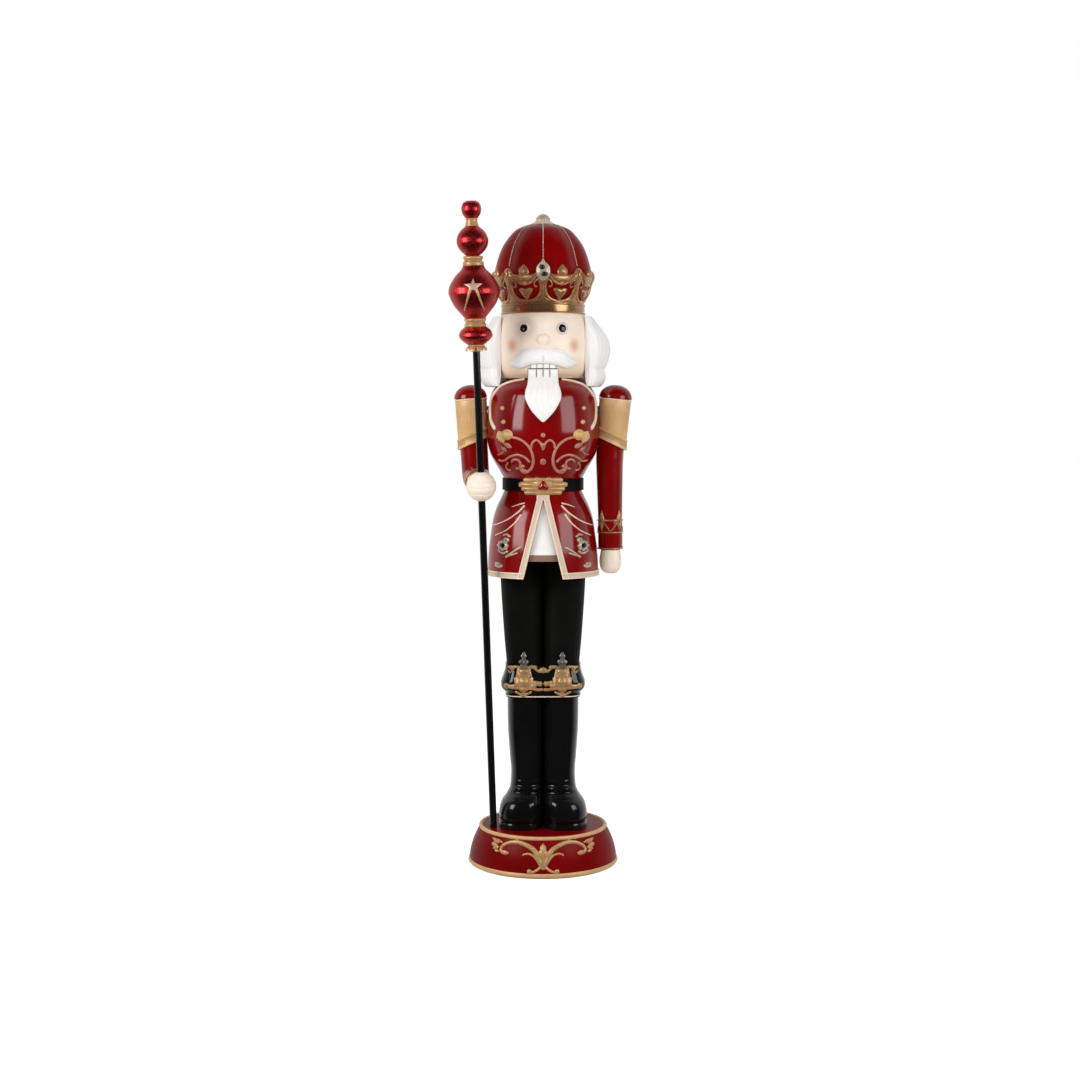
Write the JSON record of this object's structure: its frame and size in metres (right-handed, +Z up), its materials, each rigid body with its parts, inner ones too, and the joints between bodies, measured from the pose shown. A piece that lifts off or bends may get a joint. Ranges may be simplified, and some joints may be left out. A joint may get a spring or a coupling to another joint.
{
  "type": "nutcracker figure",
  "caption": "Tall standing display figure of a crowned toy king with a working lever jaw and a lift-out staff, on a round weighted base.",
  "frame": {"origin": "centre of the foam pad's underside, where the figure stands on the floor", "axes": "+Z up the figure; -Y is the way it faces; +X is its own left"},
  "size_m": [0.5039, 0.4909, 1.8382],
  "materials": {
    "red_enamel": "glossy clear-coated red enamel on moulded resin",
    "gold_leaf": "warm gilt paint, worn lighter on raised edges",
    "rose_gold": "rose gilt paint over red enamel",
    "pale_gold": "pale champagne gilt paint",
    "silver_gilt": "silvery gilt paint with dark recesses",
    "skin_enamel": "satin skin-coloured paint",
    "white_enamel": "satin white paint",
    "taupe_enamel": "satin taupe paint",
    "black_gloss": "glossy black enamel",
    "black_satin": "satin black paint",
    "plywood": "birch plywood",
    "steel": "zinc-plated steel",
    "foam_rubber": "black foam rubber",
    "dark_stone": "dark faceted glass stone",
    "red_glass": "red glass stone",
    "red_foil": "metallic red lacquer"
  },
  "bodies": {
    "root": {"base_pad": "foam_rubber", "base_board": "plywood", "base_shell": "red_enamel", "base_rims": "gold_leaf", "base_scrolls": "gold_leaf", "leg_posts": "steel", "boot_soles": "black_gloss", "right_boot": "black_gloss", "left_boot": "black_gloss", "boot_cuff": "black_gloss", "cuff_ornament": "gold_leaf", "trousers": "black_satin", "hip_board": "plywood", "waistcoat": "white_enamel", "waistcoat_hem": "taupe_enamel", "coat_skirt": "red_enamel", "skirt_trim": "pale_gold", "skirt_swags": "pale_gold", "jewel_settings": "silver_gilt", "skirt_jewels": "dark_stone", "waist_board": "plywood", "belt": "black_gloss", "belt_buckle": "gold_leaf", "buckle_gem": "red_glass", "torso": "red_enamel", "chest_trim": "pale_gold", "chest_scrolls": "rose_gold", "chest_knots": "gold_leaf", "chest_buttons": "gold_leaf", "jaw_housing": "plywood", "pivot_pin": "steel", "right_sleeve": "red_enamel", "left_sleeve": "red_enamel", "right_epaulette": "gold_leaf", "left_epaulette": "gold_leaf", "right_cuff": "red_enamel", "left_cuff": "red_enamel", "cuff_trims": "gold_leaf", "right_hand": "skin_enamel", "left_hand": "skin_enamel", "shoulder_bolts": "steel", "head": "skin_enamel", "eyes": "white_enamel", "pupils": "black_gloss", "moustache": "white_enamel", "upper_teeth": "white_enamel", "hair": "white_enamel", "crown_band": "gold_leaf", "crown_leaves": "gold_leaf", "crown_cap": "red_enamel", "crown_ribs": "silver_gilt", "crown_finial": "silver_gilt", "crown_medallion": "silver_gilt"},
    "jaw": {"jaw_lever": "plywood", "jaw_block": "white_enamel", "beard": "white_enamel"},
    "staff": {"staff_pole": "black_gloss", "staff_balls": "red_foil", "staff_rings": "gold_leaf", "staff_star": "pale_gold"}
  },
  "joints": [
    {"name": "jaw_hinge", "type": "hinge", "parent": "root", "child": "jaw", "pos_m": [0, -0.03, 1.255], "axis": [1, 0, 0], "range_deg": [0, 14]},
    {"name": "staff_lift", "type": "slide", "parent": "root", "child": "staff", "axis": [-0.0298, -0.1038, 0.9942], "range_m": [0, 0.97]}
  ]
}
